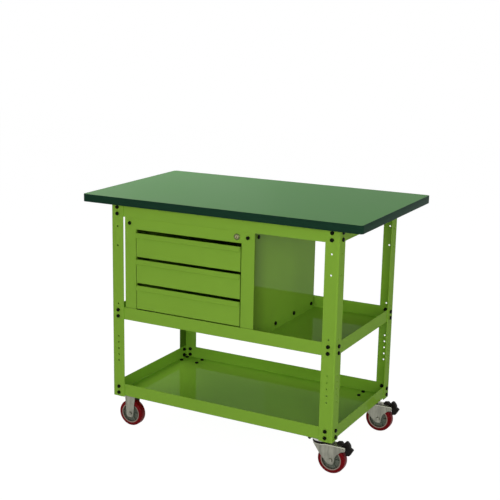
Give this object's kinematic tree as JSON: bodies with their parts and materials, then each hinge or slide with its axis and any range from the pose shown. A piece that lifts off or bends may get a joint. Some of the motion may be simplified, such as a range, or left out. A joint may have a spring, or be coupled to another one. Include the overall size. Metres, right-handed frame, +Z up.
{
  "type": "mobile work table with drawer cabinet",
  "caption": "Mobile work table with an overhanging laminate top, angle posts, two trays, a locking drawer cabinet and casters, some swivelling with brakes.",
  "frame": {"origin": "on the floor, under the middle of the tabletop", "axes": "+X along the long side, -Y is the drawer side, +Z up"},
  "size_m": [1.15, 0.685, 0.935],
  "materials": {
    "green_paint": "smooth semi-gloss powder coat",
    "laminate": "fine satin laminate",
    "edge_band": "satin plastic edge band",
    "board_core": "particle board",
    "black_steel": "black oxide",
    "zinc_steel": "bright zinc plate",
    "caster_zinc": "pressed steel, zinc plated",
    "lock_nickel": "nickel plate",
    "tread_red": "semi-gloss polyurethane",
    "hub_grey": "grey painted casting",
    "black_plastic": "moulded plastic"
  },
  "bodies": {
    "frame": {"tabletop_core": "board_core", "tabletop_laminate": "laminate", "tabletop_edge_band": "edge_band", "tabletop_screws": "zinc_steel", "post_front_left": "green_paint", "post_front_right": "green_paint", "post_back_left": "green_paint", "post_back_right": "green_paint", "apron_front": "green_paint", "apron_back": "green_paint", "apron_left": "green_paint", "apron_right": "green_paint", "middle_tray": "green_paint", "lower_tray": "green_paint", "frame_bolts": "black_steel", "caster_bolts": "black_steel", "cabinet_bolts": "black_steel", "hex_nuts": "black_steel", "cabinet_front_frame": "green_paint", "cabinet_left_side": "green_paint", "cabinet_right_side": "green_paint", "cabinet_back": "green_paint", "cabinet_brackets": "zinc_steel", "cabinet_rails": "zinc_steel", "lock_body": "lock_nickel", "lock_bar_guides": "zinc_steel", "rigid_fork_front_left": "caster_zinc", "rigid_fork_back_left": "caster_zinc", "rigid_caster_axles": "caster_zinc", "swivel_plate_front_right": "caster_zinc", "swivel_plate_back_right": "caster_zinc", "swivel_dust_seals": "black_plastic", "kingpins": "caster_zinc"},
    "drawer_top": {"drawer_top_front": "green_paint", "drawer_top_box": "green_paint", "drawer_top_runners": "zinc_steel"},
    "drawer_middle": {"drawer_middle_front": "green_paint", "drawer_middle_box": "green_paint", "drawer_middle_runners": "zinc_steel"},
    "drawer_bottom": {"drawer_bottom_front": "green_paint", "drawer_bottom_box": "green_paint", "drawer_bottom_runners": "zinc_steel"},
    "lock_plug": {"lock_plug": "lock_nickel", "lock_cam": "zinc_steel"},
    "lock_bar": {"lock_bar": "zinc_steel"},
    "swivel_front_right": {"yoke_front_right": "caster_zinc", "yoke_pins_front_right": "caster_zinc"},
    "pedal_front_right": {"brake_pedal_front_right": "black_plastic"},
    "wheel_front_left": {"wheel_tread_front_left": "tread_red", "wheel_hub_front_left": "hub_grey"},
    "wheel_front_right": {"wheel_tread_front_right": "tread_red", "wheel_hub_front_right": "hub_grey"},
    "swivel_back_right": {"yoke_back_right": "caster_zinc", "yoke_pins_back_right": "caster_zinc"},
    "pedal_back_right": {"brake_pedal_back_right": "black_plastic"},
    "wheel_back_left": {"wheel_tread_back_left": "tread_red", "wheel_hub_back_left": "hub_grey"},
    "wheel_back_right": {"wheel_tread_back_right": "tread_red", "wheel_hub_back_right": "hub_grey"}
  },
  "joints": [
    {"name": "drawer_top_slide", "type": "slide", "parent": "frame", "child": "drawer_top", "axis": [0, -1, 0], "range_m": [0, 0.37]},
    {"name": "drawer_middle_slide", "type": "slide", "parent": "frame", "child": "drawer_middle", "axis": [0, -1, 0], "range_m": [0, 0.37]},
    {"name": "drawer_bottom_slide", "type": "slide", "parent": "frame", "child": "drawer_bottom", "axis": [0, -1, 0], "range_m": [0, 0.37]},
    {"name": "lock_turn", "type": "hinge", "parent": "frame", "child": "lock_plug", "pos_m": [0.088, -0.31, 0.837], "axis": [0, -1, 0], "range_deg": [0, 90]},
    {"name": "lock_bar_lift", "type": "slide", "parent": "frame", "child": "lock_bar", "axis": [0, 0, 1], "range_m": [0, 0.0142]},
    {"name": "wheel_front_left_spin", "type": "hinge", "parent": "frame", "child": "wheel_front_left", "pos_m": [-0.3965, -0.272, 0.0525], "axis": [0, 1, 0], "continuous": true},
    {"name": "swivel_front_right_turn", "type": "hinge", "parent": "frame", "child": "swivel_front_right", "pos_m": [0.426, -0.272, 0.109], "axis": [0, 0, 1], "continuous": true},
    {"name": "wheel_front_right_spin", "type": "hinge", "parent": "swivel_front_right", "child": "wheel_front_right", "pos_m": [0.47, -0.272, 0.0525], "axis": [0, 1, 0], "continuous": true},
    {"name": "pedal_front_right_press", "type": "hinge", "parent": "swivel_front_right", "child": "pedal_front_right", "pos_m": [0.518, -0.272, 0.103], "axis": [0, 1, 0], "range_deg": [0, 12]},
    {"name": "wheel_back_left_spin", "type": "hinge", "parent": "frame", "child": "wheel_back_left", "pos_m": [-0.3965, 0.194, 0.0525], "axis": [0, 1, 0], "continuous": true},
    {"name": "swivel_back_right_turn", "type": "hinge", "parent": "frame", "child": "swivel_back_right", "pos_m": [0.426, 0.194, 0.109], "axis": [0, 0, 1], "continuous": true},
    {"name": "wheel_back_right_spin", "type": "hinge", "parent": "swivel_back_right", "child": "wheel_back_right", "pos_m": [0.47, 0.194, 0.0525], "axis": [0, 1, 0], "continuous": true},
    {"name": "pedal_back_right_press", "type": "hinge", "parent": "swivel_back_right", "child": "pedal_back_right", "pos_m": [0.518, 0.194, 0.103], "axis": [0, 1, 0], "range_deg": [0, 12]}
  ],
  "couplings": [
    {"joint": "lock_bar_lift", "follows": "lock_turn", "m_per_rad": 0.0090032}
  ]
}
